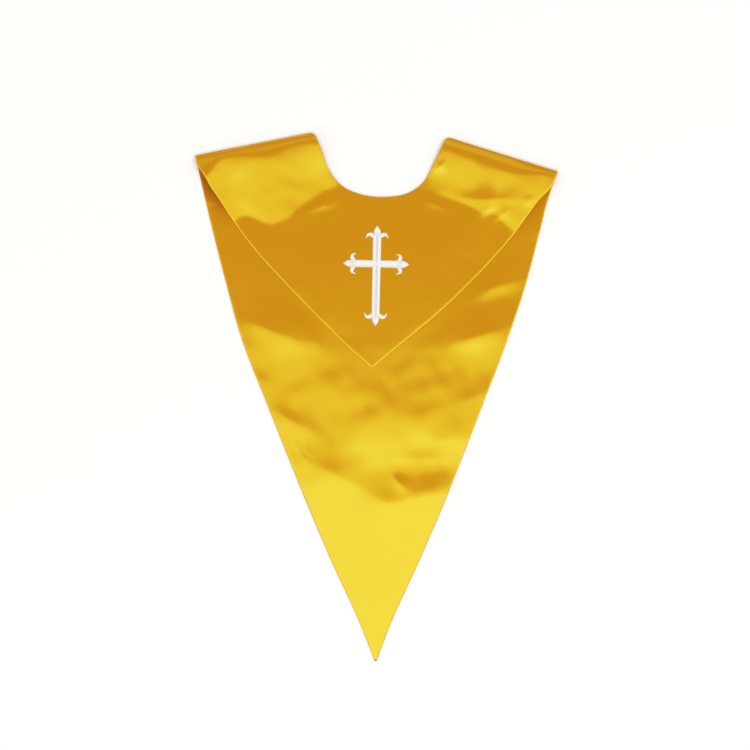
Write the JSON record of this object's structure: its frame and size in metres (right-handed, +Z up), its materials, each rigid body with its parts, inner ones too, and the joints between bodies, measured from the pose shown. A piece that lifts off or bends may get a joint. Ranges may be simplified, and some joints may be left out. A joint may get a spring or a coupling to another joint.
{
  "type": "choir stole",
  "caption": "V-shaped satin choir stole laid flat: a short front V with a raised embroidered cross over a long back V, joined along folded shoulders.",
  "frame": {"origin": "middle of the outline's box, on the plane that the stole lies on", "axes": "+Y from the long point to the neck, +X to the right seen from above with the neck at the top, +Z up out of the cloth"},
  "size_m": [0.5264, 0.766, 0.008],
  "materials": {
    "satin": "gold polyester satin, glossy float face outwards",
    "embroidery": "white satin stitch in rayon thread"
  },
  "bodies": {
    "root": {"back_panel": "satin", "front_panel": "satin", "embroidered_cross": "embroidery"}
  },
  "joints": []
}
